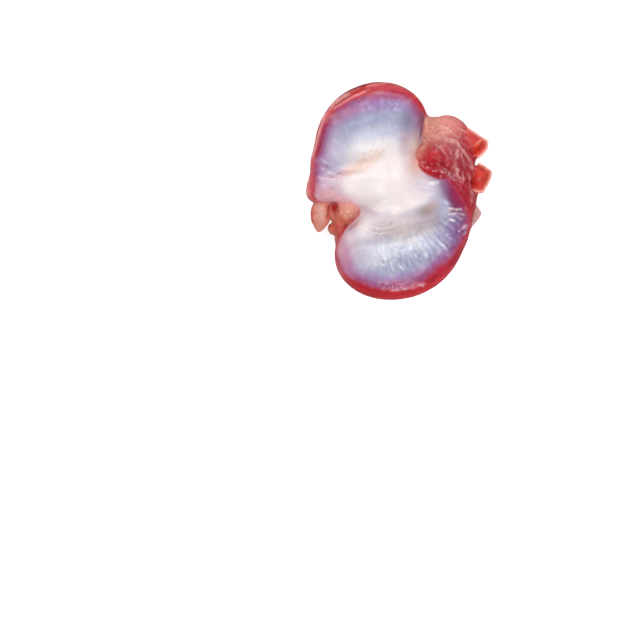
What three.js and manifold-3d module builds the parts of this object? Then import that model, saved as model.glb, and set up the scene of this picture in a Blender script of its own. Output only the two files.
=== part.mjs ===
// A chicken gizzard, cut open at one side, cleaned and laid flat, as it is sold raw. It is one piece of meat.
// Two thick muscle lobes lie either side of a narrow waist, under the white tendon plate that joins them. In the
// waist's right notch sits the stump of the outlet, a domed flap of thinner muscle with two cut tube ends, and in
// the left notch lie lumps of fat. Millimetres, +Z up, tendon face up, resting on z = 0, with the long side along Y.
import * as THREE from "three";
import { mergeVertices } from "three/addons/utils/BufferGeometryUtils.js";
import Module from "manifold-3d";

// The two lobes and the waist. Each belly is an oval in plan, with its centre, half-lengths and turn in degrees, and
// the soft union of the bellies is the outline.
const LOBES = {
  centre: [-3.9, 1.45], // every outline point can be seen from here
  bellies: [
    { name: "upper lobe", x: -9.6, y: 14.3, rx: 17.0, ry: 14.4, turn: 65 },
    { name: "left edge of the upper lobe", x: -11.3, y: 10.8, rx: 7.4, ry: 20.0, turn: -48 },
    { name: "top of the upper lobe", x: -3.0, y: 20.9, rx: 11.4, ry: 10.0, turn: -22 },
    { name: "waist", x: -8.0, y: 4.1, rx: 18.1, ry: 10.6, turn: -19 },
    { name: "lower lobe", x: -1.0, y: -17.6, rx: 17.8, ry: 14.0, turn: 10 },
    { name: "right side of the lower lobe", x: 4.5, y: -11.1, rx: 15.4, ry: 19.5, turn: -32 },
  ],
  melt: 2.5, // how softly neighbouring bellies run into each other
  rimHeight: 6.0, // the side wall is widest this far above the table
  faceHeight: 11.3, // the tendon face where nothing swells or dips
  faceRound: 6.5, // in plan, how far in from the outline that face has risen to its full height
  soleHeight: 0, // the underside's flat resting area
  soleRound: 4.0,
  relief: [
    { name: "upper dome", x: -8.2, y: 17.6, rx: 12.0, ry: 9.0, turn: 20, rise: 5.2 },
    { name: "tendon ridge", x: -1.5, y: -0.6, rx: 11.5, ry: 5.2, turn: -14, rise: 3.0 },
    { name: "ridge up the right side", x: 0.2, y: 10.5, rx: 3.2, ry: 8.0, turn: 0, rise: 1.0 },
    { name: "groove over the ridge", x: -12.5, y: 6.4, rx: 8.5, ry: 2.2, turn: 12, rise: -1.5 },
    { name: "valley under the ridge", x: 0.5, y: -10.0, rx: 13.0, ry: 4.2, turn: 14, rise: -1.7 },
    { name: "lower dome", x: 3.0, y: -18.0, rx: 15.0, ry: 8.5, turn: 14, rise: 5.4 },
    { name: "right end of the lower dome", x: 15.5, y: -8.5, rx: 5.5, ry: 7.0, turn: 0, rise: 2.6 },
  ],
  hollow: { name: "waist", x: -4.0, y: 1.4, rx: 15.0, ry: 6.5, turn: -42, rise: 2.6 }, // doesn't reach the table
  core: 8, // the mesh rings turn from circles to the outline's shape beyond about this radius
  around: 90,
  levels: 26,
};

// The flap of thinner muscle in the right notch
const FLAP = {
  centre: [15.0, 9.0],
  bellies: [
    { name: "dome", x: 14.4, y: 13.2, rx: 7.2, ry: 8.8, turn: 10 },
    { name: "foot", x: 16.8, y: 3.6, rx: 4.9, ry: 9.6, turn: 22 },
    { name: "root", x: 8.6, y: 9.6, rx: 4.6, ry: 5.0, turn: 0 },
    { name: "web to the upper lobe", x: 8.6, y: 19.4, rx: 2.6, ry: 1.9, turn: -32 },
    { name: "base of the upper tube end", x: 20.4, y: 12.6, rx: 3.4, ry: 4.2, turn: 0 },
    { name: "base of the lower tube end", x: 20.8, y: 3.0, rx: 3.2, ry: 4.0, turn: 0 },
  ],
  melt: 2.5,
  rimHeight: 5.0,
  faceHeight: 9.8,
  faceRound: 6.0,
  soleHeight: 0.6, // it hangs just clear of the table
  soleRound: 4.5,
  relief: [
    { name: "dome", x: 13.4, y: 11.8, rx: 6.0, ry: 7.0, turn: 10, rise: 3.2 },
    { name: "muscle knot at the root", x: 9.6, y: 8.6, rx: 2.8, ry: 2.8, turn: 0, rise: 1.6 },
    { name: "foot", x: 15.0, y: 0.6, rx: 4.0, ry: 4.6, turn: 20, rise: 1.4 },
    { name: "edge by the tube ends", x: 21.6, y: 8.0, rx: 3.4, ry: 8.0, turn: 0, rise: -2.4 },
  ],
  hollow: null,
  core: 5,
  around: 48,
  levels: 16,
};

// The two cut tube ends, each a bowl with an uneven lip: the middle of its mouth, half-lengths across the mouth, depth,
// turn in plan, and the slope of the mouth from level, which faces up and out
const TUBE_WALL = 1.2;
const LIP_WAVE = 0.7; // the lip rises and falls by this
const TUBE_ENDS = [
  { name: "upper tube end", at: [22.3, 12.8, 6.8], size: [3.7, 4.3], deep: 4.2, turn: 20, slope: 24 },
  { name: "lower tube end", at: [22.9, 3.0, 5.8], size: [4.2, 3.7], deep: 4.0, turn: -12, slope: 24 },
];

// Lumps that are fused on
const LUMPS = [
  { name: "skin tab", at: [20.4, -7.4, 5.0], size: [3.8, 3.2, 0.9], turn: -68, slope: 0, mesh: 14 },
  { name: "fat lump", at: [-15.2, -5.9, 6.0], size: [4.4, 4.4, 4.8], turn: 0, slope: 0, mesh: 18 },
  { name: "fat behind the finger", at: [-19.6, -4.2, 4.6], size: [3.0, 2.6, 3.2], turn: 0, slope: 0, mesh: 12 },
  { name: "bead under the fat", at: [-19.0, -9.9, 3.8], size: [1.7, 1.9, 2.6], turn: 0, slope: 0, mesh: 12 },
  { name: "bead beside it", at: [-17.6, -8.4, 4.6], size: [2.4, 2.6, 3.6], turn: 20, slope: 0, mesh: 12 },
  { name: "strip down the lower lobe", at: [-17.3, -12.8, 4.6], size: [1.9, 4.6, 3.4], turn: 8, slope: 0, mesh: 14 },
];

// A finger of fat that hangs down in the left notch: the points of its middle line, and half-widths across and up
const FINGER = {
  path: [[-21.4, -0.6, 5.4], [-22.6, -4.6, 4.8], [-23.2, -8.4, 3.8], [-22.6, -12.0, 2.9]],
  wide: 2.7,
  tall: 2.5,
  mesh: 14,
};
const ROLL_END = 0.45; // under 1 keeps it thick almost to its ends

// Slow waves that keep any face from being a perfect curve: height, and length in plan
const WAVE_HEIGHT = 0.22;
const WAVE_LENGTH = 9.0;

const STRIDE = 0.4; // the step of a search for the outline
const HALVINGS = 30; // and how often the last step is halved
const TIDY = 0.02; // edges shorter than this are closed up after the pieces are joined
const MUSCLE_RED = "#b53a44";

const { cos, sin, hypot, min, max, sqrt, exp, pow } = Math;
const radians = THREE.MathUtils.degToRad;
const clamp = THREE.MathUtils.clamp;
const wasm = await Module();
wasm.setup();

// A point of the plan in the turned frame of an oval, as shares of its half-lengths
function inOval(oval, x, y) {
  const turn = radians(oval.turn);
  const across = (x - oval.x) * cos(turn) + (y - oval.y) * sin(turn);
  const along = (y - oval.y) * cos(turn) - (x - oval.x) * sin(turn);
  return [across / oval.rx, along / oval.ry];
}

// How far a point lies inside an oval, in millimetres, and below zero outside it
function ovalDepth(oval, x, y) {
  const [a, b] = inOval(oval, x, y);
  const share = hypot(a, b) + 1e-9;
  const slope = hypot(a / oval.rx, b / oval.ry) + 1e-9;
  return min(((1 - share) * share) / slope, min(oval.rx, oval.ry));
}

// The larger of two depths, rounded over where they are nearly equal
function melt(a, b, softness) {
  const h = clamp(0.5 + (0.5 * (a - b)) / softness, 0, 1);
  return b + (a - b) * h + softness * h * (1 - h);
}

// How far a point of the plan lies inside a slab's outline
const planDepth = (slab, x, y) =>
  slab.bellies.map((belly) => ovalDepth(belly, x, y)).reduce((a, b) => melt(a, b, slab.melt));

const bump = (oval, x, y) => oval.rise * exp(-pow(hypot(...inOval(oval, x, y)), 2));

const waves = (x, y) =>
  WAVE_HEIGHT * (sin((6.28 * (x + 0.4 * y)) / WAVE_LENGTH) + sin((6.28 * (y - 0.3 * x)) / (0.8 * WAVE_LENGTH) + 1));

// Rises from 0 to 1 as a quarter circle does
const quarterRound = (t) => sqrt(1 - pow(1 - clamp(t, 0, 1), 2));

function faceAt(slab, x, y, depth) {
  const full = slab.relief.reduce((z, oval) => z + bump(oval, x, y), slab.faceHeight) + waves(x, y);
  return slab.rimHeight + (full - slab.rimHeight) * quarterRound(depth / slab.faceRound);
}

function soleAt(slab, x, y, depth) {
  const full = slab.soleHeight + (slab.hollow ? max(0, bump(slab.hollow, x, y) - 0.5) : 0);
  return slab.rimHeight - (slab.rimHeight - full) * quarterRound(depth / slab.soleRound);
}

// How far the outline lies from the slab's centre in one direction, by strides and then by halving the last of them
function reach(slab, east, north) {
  const isInside = (r) => planDepth(slab, slab.centre[0] + r * east, slab.centre[1] + r * north) > 0;
  let r = 0;
  while (isInside(r + STRIDE)) r += STRIDE;
  for (let i = 0, half = STRIDE / 2; i < HALVINGS; i++, half /= 2) if (isInside(r + half)) r += half;
  return r;
}

// A ball with its poles up and down, spread over the outline: its upper half becomes the face and its lower the sole
function slabSolid(slab) {
  const reaches = new Map();
  return reshape(new THREE.SphereGeometry(1, slab.around, slab.levels), (v) => {
    const inward = hypot(v.x, v.z);
    const [east, north] = inward > 1e-6 ? [v.x / inward, -v.z / inward] : [1, 0];
    const key = `${east.toFixed(4)} ${north.toFixed(4)}`;
    if (!reaches.has(key)) reaches.set(key, reach(slab, east, north));
    const r = inward > 1e-6 ? inward * (slab.core + (reaches.get(key) - slab.core) * pow(inward, 1.5)) : 0;
    const [x, y] = [slab.centre[0] + r * east, slab.centre[1] + r * north];
    const depth = max(0, planDepth(slab, x, y));
    return v.set(x, y, v.y > 0 ? faceAt(slab, x, y, depth) : soleAt(slab, x, y, depth));
  });
}

const turnOf = ({ turn, slope }) => new THREE.Euler(0, radians(slope), radians(turn), "ZYX");

// A ball stretched to its half-lengths and turned. Its face is a little uneven.
function lump({ at, size, turn, slope, mesh }) {
  const turned = turnOf({ turn, slope });
  return reshape(new THREE.SphereGeometry(1, mesh, Math.ceil(mesh * 0.7)), (v) => {
    const uneven = 1 + 0.05 * sin(5 * v.x + at[0]) * sin(4 * v.y + at[1]);
    return v.multiplyScalar(uneven).multiply(new THREE.Vector3(...size)).applyEuler(turned).add(new THREE.Vector3(...at));
  });
}

// A bowl turned from its wall's outline and bent a little. With no wall it is a filling that reaches half into the wall.
function bowl(end, wall) {
  const outline = [];
  const arc = (radius, depth, from, to, steps) => {
    for (let i = 0; i <= steps; i++) {
      const angle = radians(from + ((to - from) * i) / steps);
      outline.push(new THREE.Vector2(radius * sin(angle), -depth * cos(angle)));
    }
  };
  const [half, deep] = [1, end.deep / end.size[0]];
  const thin = TUBE_WALL / end.size[0];
  if (wall) {
    arc(half, deep, 0, 95, 8);
    arc(half - thin, deep - thin, 92, 0, 7);
  } else {
    arc(half - thin / 2, deep - thin / 2, 0, 92, 7);
    outline.push(new THREE.Vector2(half - thin / 2, 2 * deep), new THREE.Vector2(0, 2 * deep));
  }
  outline[0].x = 0;
  outline.at(-1).x = 0;
  return reshape(new THREE.LatheGeometry(outline, 20), (v) => {
    const around = Math.atan2(v.z, v.x);
    const lift = LIP_WAVE * sin(2 * around + end.turn) * hypot(v.x, v.z);
    v.set(v.x * end.size[0], -v.z * end.size[1], v.y * end.size[0] + lift);
    return v.applyEuler(turnOf(end)).add(new THREE.Vector3(...end.at));
  });
}

// A ball drawn out along a curve
function roll({ path, wide, tall, mesh }) {
  const line = new THREE.CatmullRomCurve3(path.map((p) => new THREE.Vector3(...p)));
  const up = new THREE.Vector3(0, 0, 1);
  return reshape(new THREE.SphereGeometry(1, mesh, 2 * mesh), (v) => {
    const share = (1 - v.y) / 2;
    const ahead = line.getTangentAt(share);
    const side = new THREE.Vector3().crossVectors(up, ahead).normalize();
    const above = new THREE.Vector3().crossVectors(ahead, side);
    const fullness = pow(max(hypot(v.x, v.z), 1e-9), ROLL_END - 1);
    const [out, rise] = [v.x * fullness * wide, v.z * fullness * tall];
    return v.copy(line.getPointAt(share)).addScaledVector(side, out).addScaledVector(above, rise);
  });
}

// Moves every vertex of a three.js shape, and returns it as a solid
function reshape(geometry, place) {
  geometry.deleteAttribute("normal");
  geometry.deleteAttribute("uv");
  const points = geometry.attributes.position;
  const v = new THREE.Vector3();
  for (let i = 0; i < points.count; i++) {
    place(v.fromBufferAttribute(points, i));
    points.setXYZ(i, v.x, v.y, v.z);
  }
  const merged = mergeVertices(geometry, 1e-3);
  const faces = [];
  for (let i = 0; i < merged.index.count; i += 3) {
    const [a, b, c] = [0, 1, 2].map((k) => merged.index.getX(i + k));
    if (a !== b && b !== c && c !== a) faces.push(a, b, c);
  }
  return new wasm.Manifold(
    new wasm.Mesh({ numProp: 3, vertProperties: merged.attributes.position.array, triVerts: new Uint32Array(faces) }),
  );
}

function geometryOf(solid) {
  const mesh = solid.getMesh();
  const geometry = new THREE.BufferGeometry();
  geometry.setAttribute("position", new THREE.BufferAttribute(mesh.vertProperties, 3));
  geometry.setIndex(new THREE.BufferAttribute(mesh.triVerts, 1));
  geometry.computeVertexNormals();
  return geometry;
}

const join = (solids) => solids.reduce((joined, solid) => joined.add(solid));
const flap = slabSolid(FLAP).subtract(join(TUBE_ENDS.map((end) => bowl(end, false))));
const outlet = join([flap, ...TUBE_ENDS.map((end) => bowl(end, true))]);
const whole = join([slabSolid(LOBES), outlet, ...LUMPS.map(lump), roll(FINGER)]).simplify(TIDY);

const muscle = new THREE.MeshStandardMaterial({ color: MUSCLE_RED, roughness: 0.35, metalness: 0 });
const gizzard = new THREE.Mesh(geometryOf(whole), muscle);
gizzard.name = "gizzard";

const group = new THREE.Group();
group.add(gizzard);
export default group;
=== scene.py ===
# %% [markdown]
# # A raw chicken gizzard
# A gizzard is the grinding stomach of a bird, here cut open and laid flat. What shows from above is the
# shiny tendon plate: white at the narrow waist, blue-grey over the two thick lobes, purple where it thins,
# and red where the bare muscle comes out round the rim. This lesson dresses a plain solid of it. Sizes are
# in millimetres and are turned into metres once.

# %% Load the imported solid
import bpy
import numpy as np
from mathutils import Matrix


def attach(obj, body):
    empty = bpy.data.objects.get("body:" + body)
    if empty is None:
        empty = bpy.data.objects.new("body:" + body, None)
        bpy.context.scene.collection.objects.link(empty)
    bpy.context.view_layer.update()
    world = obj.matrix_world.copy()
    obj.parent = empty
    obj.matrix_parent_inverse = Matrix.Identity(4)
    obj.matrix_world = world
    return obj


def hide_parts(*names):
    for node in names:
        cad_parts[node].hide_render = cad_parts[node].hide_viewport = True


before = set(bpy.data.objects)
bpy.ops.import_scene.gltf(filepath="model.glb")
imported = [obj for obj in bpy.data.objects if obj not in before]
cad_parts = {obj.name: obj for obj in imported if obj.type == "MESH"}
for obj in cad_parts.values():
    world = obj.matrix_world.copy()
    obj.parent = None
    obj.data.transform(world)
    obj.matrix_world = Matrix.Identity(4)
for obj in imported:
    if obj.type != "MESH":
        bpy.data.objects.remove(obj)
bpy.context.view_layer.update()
MM = 0.001

# %% [markdown]
# ## Ovals that melt together
# Every swelling of meat is roughly an oval, so an oval is the main building block here: a middle, two
# half-lengths and a turn. One function says how deep a point lies inside it, and another takes the larger
# of two depths and rounds the place where they meet, as soft flesh does.

# %% Depth inside an oval
def turned(x, y, middle, turn):
    """How far forward and to the side a point lies from a middle, along axes turned by some degrees."""
    t = np.radians(turn)
    east, north = x - middle[0], y - middle[1]
    return east * np.cos(t) + north * np.sin(t), north * np.cos(t) - east * np.sin(t)


def depth_in(place, size):
    """How deep a place, given along the form's own axes, lies in an oval or a stretched ball."""
    share = np.sqrt(sum((p / s) ** 2 for p, s in zip(place, size))) + 1e-9
    slope = np.sqrt(sum((p / s**2) ** 2 for p, s in zip(place, size))) + 1e-9
    return np.minimum((1 - share) * share / slope, min(size))


def oval(name, x, y, rx, ry, turn=0.0, **more):
    return {"name": name, "x": x, "y": y, "rx": rx, "ry": ry, "turn": turn, **more}


def in_oval(shape, x, y):
    return turned(x, y, (shape["x"], shape["y"]), shape["turn"])


def oval_depth(shape, x, y):
    return depth_in(in_oval(shape, x, y), (shape["rx"], shape["ry"]))


def bump(shape, x, y):
    """One in the oval's middle, fading softly to nothing outside it."""
    across, along = in_oval(shape, x, y)
    return np.exp(-(across / shape["rx"]) ** 2 - (along / shape["ry"]) ** 2)


print("an oval of 4 by 2 mm is", oval_depth(oval("trial", 0, 0, 4, 2), 0.0, 0.0), "mm deep in its middle")

# %% Join, carve and fade
def melt(a, b, softness):
    """The larger of two depths, rounded over where they are nearly equal."""
    h = np.clip(0.5 + 0.5 * (a - b) / softness, 0, 1)
    return b + (a - b) * h + softness * h * (1 - h)


def melted(depths, softness):
    total = depths[0]
    for depth in depths[1:]:
        total = melt(total, depth, softness)
    return total


def least(depths, softness):
    """The smallest of several depths, rounded in the same way."""
    return -melted([-depth for depth in depths], softness)


def carve(a, cutter, softness):
    """What is left of a when the cutter's inside is taken away, with a rounded edge."""
    return -melt(-a, cutter, softness)


def soft_step(value, start, end):
    """Nothing up to the start, one from the end on, and a smooth rise between them."""
    t = np.clip((value - start) / (end - start), 0, 1)
    return t * t * (3 - 2 * t)


print("halfway up a soft step is", float(soft_step(0.5, 0.0, 1.0)))

# %% [markdown]
# Many small things lie on this meat, so they are listed in plain text, one to a line: a name, and then
# numbers, colours and words. An oval's are its middle, its two half-lengths and its turn in degrees, and
# then whatever else the list gives it.

# %% Read a list
def value_of(word):
    """A number where the word is one, or else the word itself, such as a colour."""
    return float(word) if word[0] != "#" and word[-1].isdigit() else word


def rows(text):
    """The name and the values of each line."""
    split = [row.split(": ") for row in text.strip().splitlines()]
    return [[name, *map(value_of, values.split())] for name, values in split]


def ovals(text, *more):
    return [oval(*row[:6], **dict(zip(more, row[6:]))) for row in rows(text)]


print(ovals("trial: 1 2 3 4 30 #ff0000", "colour"))

# %% [markdown]
# ## The two lobes and the waist
# Six muscle bellies make the outline. The tendon face is a height over the table: a level plate with named
# swellings and dips, rounded down to the rim. The numbers are the solid's own, so the skin lies where the
# solid does.

# %% Sizes of the lobes
LOBES = {
    "bellies": ovals("""
upper lobe: -9.6 14.3 17 14.4 65
left edge of the upper lobe: -11.3 10.8 7.4 20 -48
top of the upper lobe: -3 20.9 11.4 10 -22
waist: -8 4.1 18.1 10.6 -19
lower lobe: -1 -17.6 17.8 14 10
right side of the lower lobe: 4.5 -11.1 15.4 19.5 -32
"""),
    "rim_height": 6.0,
    "face_height": 11.3,
    "face_round": 6.5,
    "sole_height": 0.0,
    "sole_round": 4.0,
    "relief": ovals("""
upper dome: -8.2 17.6 12 9 20 5.2
tendon ridge: -1.5 -0.6 11.5 5.2 -14 3
ridge up the right side: 0.2 10.5 3.2 8 0 1
groove over the ridge: -12.5 6.4 8.5 2.2 12 -1.5
valley under the ridge: 0.5 -10 13 4.2 14 -1.7
lower dome: 3 -18 15 8.5 14 5.4
right end of the lower dome: 15.5 -8.5 5.5 7 0 2.6
""", "rise"),
    "hollow": oval("waist", -4.0, 1.4, 15.0, 6.5, -42, rise=2.6),
}
MELT = 2.5
WAVE_HEIGHT, WAVE_LENGTH = 0.22, 9.0
print("bellies", [b["name"] for b in LOBES["bellies"]])

# %% [markdown]
# ## The flap in the right notch
# The bird's gut leaves the gizzard here. What the butcher leaves is a domed flap of thinner, redder muscle
# with the stumps of two tubes at its far side.

# %% Sizes of the flap
FLAP = {
    "bellies": ovals("""
dome: 14.4 13.2 7.2 8.8 10
foot: 16.8 3.6 4.9 9.6 22
root: 8.6 9.6 4.6 5 0
web to the upper lobe: 8.6 19.4 2.6 1.9 -32
base of the upper tube end: 20.4 12.6 3.4 4.2 0
base of the lower tube end: 20.8 3 3.2 4 0
"""),
    "rim_height": 5.0,
    "face_height": 9.8,
    "face_round": 6.0,
    "sole_height": 0.6,
    "sole_round": 4.5,
    "relief": ovals("""
dome: 13.4 11.8 6 7 10 3.2
muscle knot at the root: 9.6 8.6 2.8 2.8 0 1.6
foot: 15 0.6 4 4.6 20 1.4
edge by the tube ends: 21.6 8 3.4 8 0 -2.4
""", "rise"),
    "hollow": None,
}
print("bellies", [b["name"] for b in FLAP["bellies"]])

# %% [markdown]
# ## From outline to solid
# Each slab is a field in space that is above zero inside the meat. Its edge is a quarter oval up to the
# face over the rim's height, and one down to the sole under it. Fields are joined and carved like the flat
# ovals, and later one skin is drawn round where the sum is zero.

# %% The field of a slab
def plan_depth(slab, x, y):
    return melted([oval_depth(belly, x, y) for belly in slab["bellies"]], MELT)


def waves(x, y):
    slow = np.sin(2 * np.pi * (x + 0.4 * y) / WAVE_LENGTH)
    quick = np.sin(2 * np.pi * (y - 0.3 * x) / (0.8 * WAVE_LENGTH) + 1)
    return WAVE_HEIGHT * (slow + quick)


def slab_field(slab, x, y, z):
    depth = plan_depth(slab, x, y)
    top = slab["face_height"] + sum(r["rise"] * bump(r, x, y) for r in slab["relief"]) + waves(x, y)
    low = slab["sole_height"]
    if slab["hollow"]:
        low = low + np.maximum(0, slab["hollow"]["rise"] * bump(slab["hollow"], x, y) - 0.5)
    rim, face, sole = slab["rim_height"], slab["face_round"], slab["sole_round"]
    over = np.hypot(np.maximum(face - depth, 0) / face, (z - rim) / (top - rim))
    under = np.hypot(np.maximum(sole - depth, 0) / sole, (rim - z) / (rim - low))
    return np.where(z > rim, face * (1 - over), sole * (1 - under))


print("the lobes are", round(float(plan_depth(LOBES, -9.0, 15.0)), 1), "mm deep in plan at the upper dome")

# %% [markdown]
# ## Lumps, a finger of fat and two tube ends
# Fat sits in the left notch as soft lumps, and one lobe of it hangs down like a finger. A lump is a ball
# stretched three ways. The finger is a chain of balls along a bent line. The two tubes were cut off short,
# so each end is an angular sleeve: a cup with a cornered rim, whose inside rises from a floor to the lip.

# %% Lumps and a finger
# A lump is listed by its middle, its three half-lengths and its turn.
FAT_LUMPS = rows("""
fat lump: -14.9 -5.9 6 3.9 4.2 4.9 0
fat behind the finger: -19 -4.6 3.2 2.6 3.2 2.9 0
upper bead: -18.6 -7.6 4.2 1.5 1.5 2.6 0
lower bead: -19.1 -11 3.4 1.6 1.7 2.4 0
bead beside them: -17.2 -9.4 4.4 2 2.4 3.4 20
strip down the lower lobe: -16.9 -13.8 4.4 1.7 4.2 3.2 8
""")
# A ball of the finger is listed by its middle and its radius.
FINGER = [
    (-22.2, -2.6, 5.6, 2.1),
    (-22.7, -6.0, 5.2, 2.65),
    (-22.8, -8.0, 4.7, 2.6),
    (-23.1, -10.2, 3.7, 1.4),
    (-23.2, -11.3, 3.1, 0.7),
]


def lump_field(lump, x, y, z):
    _, *middle, long, wide, high, turn = lump
    return depth_in((*turned(x, y, middle, turn), z - middle[2]), (long, wide, high))


def to_piece(place, start, end):
    """How far along a straight piece its nearest spot is, from 0 to 1, and how far off that is."""
    ahead = [e - s for s, e in zip(start, end)]
    share = sum((p - s) * a for p, s, a in zip(place, start, ahead)) / sum(a * a for a in ahead)
    share = np.clip(share, 0, 1)
    return share, np.sqrt(sum((p - s - share * a) ** 2 for p, s, a in zip(place, start, ahead)))


def finger_field(x, y, z):
    pieces = []
    for (*start, first), (*end, last) in zip(FINGER[:-1], FINGER[1:]):
        share, off = to_piece((x, y, z), start, end)
        pieces.append(first + (last - first) * share - off)
    return melted(pieces, 1.0)


print(len(FAT_LUMPS), "lumps of fat and a finger", FINGER[1][3] * 2, "mm wide")

# %% [markdown]
# A cornered edge is a row of corners. Left of each side is inside, so the smallest of the distances to the
# sides says how deep a point lies. The free sides carry the lip, and the back sides only close the shape
# inside the flap.

# %% Sizes of the tube ends and the skin tab
TUBE_ENDS = [
    {
        "name": "upper tube end",
        "edge": [(22.9, 9.0), (24.7, 10.4), (25.8, 12.0), (25.9, 14.6), (24.1, 15.8), (19.6, 18.7)],
        "back": [(19.0, 15.0), (20.4, 11.0)],
        "lip": 8.6,
        "floor": 5.8,
        "under": 2.4,
        "wide": 2.0,
        "deep": oval("deep part", 21.9, 11.6, 1.9, 1.5, 20),
        "fold": [(21.5, 12.4), (23.8, 14.2)],
        "roof": 8.8,
        "colours": {"inside": "#e0665a", "bottom": "#e63a2c", "rim": "#ffcec4"},
    },
    {
        "name": "lower tube end",
        "edge": [(21.2, -0.3), (24.3, -1.0), (25.8, 1.4), (26.8, 3.4), (27.0, 5.7), (23.2, 8.1)],
        "back": [(21.5, 5.6), (20.4, 2.2)],
        "lip": 7.8,
        "floor": 4.8,
        "under": 1.8,
        "wide": 3.6,
        "deep": oval("deep part", 21.9, 2.9, 1.9, 1.9),
        "fold": None,
        "colours": {"inside": "#cf4c40", "bottom": "#c01810", "rim": "#f6b4a6"},
    },
]
LIP_THICK, LIP_WIDE, CUP_ROUND, FOLD_ROUND = 1.4, 0.55, 2.6, 1.6
CUP_SLOPE, CORNER_ROUND = 0.6, 0.3
TAB_EDGE = [(20.0, -12.2), (21.9, -10.0), (23.6, -8.0), (24.1, -6.6), (23.3, -5.1), (21.1, -2.5)]
TAB_BACK = [(19.3, -4.0), (18.6, -10.0)]
TAB_HEIGHT, TAB_THICK, TAB_SLOPE = 5.0, 0.8, 0.25
print([end["name"] for end in TUBE_ENDS], "and a skin tab", TAB_THICK, "mm thick")

# %% Fields of the cornered forms
def side_depths(corners, x, y):
    depths = []
    for (ax, ay), (bx, by) in zip(corners[:-1], corners[1:]):
        length = np.hypot(bx - ax, by - ay)
        depths.append(((bx - ax) * (y - ay) - (by - ay) * (x - ax)) / length)
    return depths


def cornered(edge, back, x, y):
    free = least(side_depths(edge, x, y), 0.5)
    closed = least([free, *side_depths([edge[-1], *back, edge[0]], x, y)], 0.4)
    return free, closed


def rising(free, width):
    """One at the edge, falling in a curve to zero at the width."""
    return (1 - np.clip(free / width, 0, 1)) ** 2


def cup_shape(end, x, y):
    """Depths from the free edge and the whole edge, and the heights of the cup's inside and outside."""
    free, closed = cornered(end["edge"], end["back"], x, y)
    lip = end["lip"] + 0.12 * np.sin(0.9 * x + 1.3 * y)
    inner = end["floor"] + (lip - end["floor"]) * rising(free - LIP_WIDE, end["wide"])
    if end["fold"]:
        over = side_depths(end["fold"], x, y)[0]
        roof = end["roof"] - FOLD_ROUND * rising(free, FOLD_ROUND)
        inner = inner + (roof - inner) * soft_step(over, -0.15, 0.25)
    outer = end["under"] + (lip - LIP_THICK - end["under"]) * rising(free, CUP_ROUND)
    return free, closed, inner, outer


def cup_fields(end, x, y, z):
    _, closed, inner, outer = cup_shape(end, x, y)
    wall = least([closed, CUP_SLOPE * (inner - z), CUP_SLOPE * (z - outer)], CORNER_ROUND)
    hollow = least([closed - 0.1, CUP_SLOPE * (z - inner)], CORNER_ROUND)
    return wall, hollow


def tab_field(x, y, z):
    _, closed = cornered(TAB_EDGE, TAB_BACK, x, y)
    middle = TAB_HEIGHT + TAB_SLOPE * (x - TAB_EDGE[0][0])
    return least([closed, 0.5 * TAB_THICK - np.abs(z - middle)], CORNER_ROUND)


print("the lower cup's floor is at", round(float(cup_shape(TUBE_ENDS[1], 22.6, 3.2)[2]), 1), "mm")

# %% [markdown]
# ## The whole piece of meat as one field
# The flap meets the upper lobe in a sharp dark crease but runs smoothly into the lower lobe, so the
# softness of that join changes along it.

# %% One field
def meat(x, y, z):
    flap = slab_field(FLAP, x, y, z)
    cups = [cup_fields(end, x, y, z) for end in TUBE_ENDS]
    for _, hollow in cups:
        flap = carve(flap, hollow, 0.5)
    for wall, _ in cups:
        flap = melt(flap, wall, 0.6)
    softness = 0.8 + 2.7 / (1 + np.exp((y - 3.5) / 1.2)) + 0.7 / (1 + np.exp((12.0 - y) / 1.5))
    whole = melt(slab_field(LOBES, x, y, z), flap, softness)
    whole = melt(whole, tab_field(x, y, z), 0.6)
    for fat in FAT_LUMPS:
        whole = melt(whole, lump_field(fat, x, y, z), 0.7 + 1.8 * soft_step(y, -6.0, -3.0))
    return melt(whole, finger_field(x, y, z), 0.5)


print("the field is", round(float(meat(-9.0, 15.0, 8.0)), 2), "mm inside the upper lobe")

# %% [markdown]
# ## A skin round the field
# The field is read on a grid about a third of a millimetre apart. Every cell that the surface passes
# through gets one point, at the mean of the places where its edges are crossed, and every crossed grid edge
# gets one four-sided face. A few steps along the field's slope then pull each point onto the surface, and
# easing evens out the grid.

# %% Draw the skin
GRID = 0.325
LOW = np.array([-28.5, -33.5, -0.7])
HIGH = np.array([28.5, 33.0, 18.5])
JUST_INSIDE = 0.001


def unpinched(field):
    """The field with a corner filled wherever two parts of the skin would touch along one edge only."""
    filled = 1
    while filled:
        filled = 0
        for axis in range(3):
            layers = np.moveaxis(field, axis, 0)
            a, b = layers[:, :-1, :-1], layers[:, 1:, :-1]
            c, d = layers[:, 1:, 1:], layers[:, :-1, 1:]
            for inside, across, gap, other_gap in ((a, c, b, d), (b, d, a, c)):
                pinch = (inside > 0) & (across > 0) & (gap <= 0) & (other_gap <= 0)
                nearer = gap >= other_gap
                filled += int(pinch.sum())
                gap[pinch & nearer] = JUST_INSIDE
                other_gap[pinch & ~nearer] = JUST_INSIDE
    return field


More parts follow.
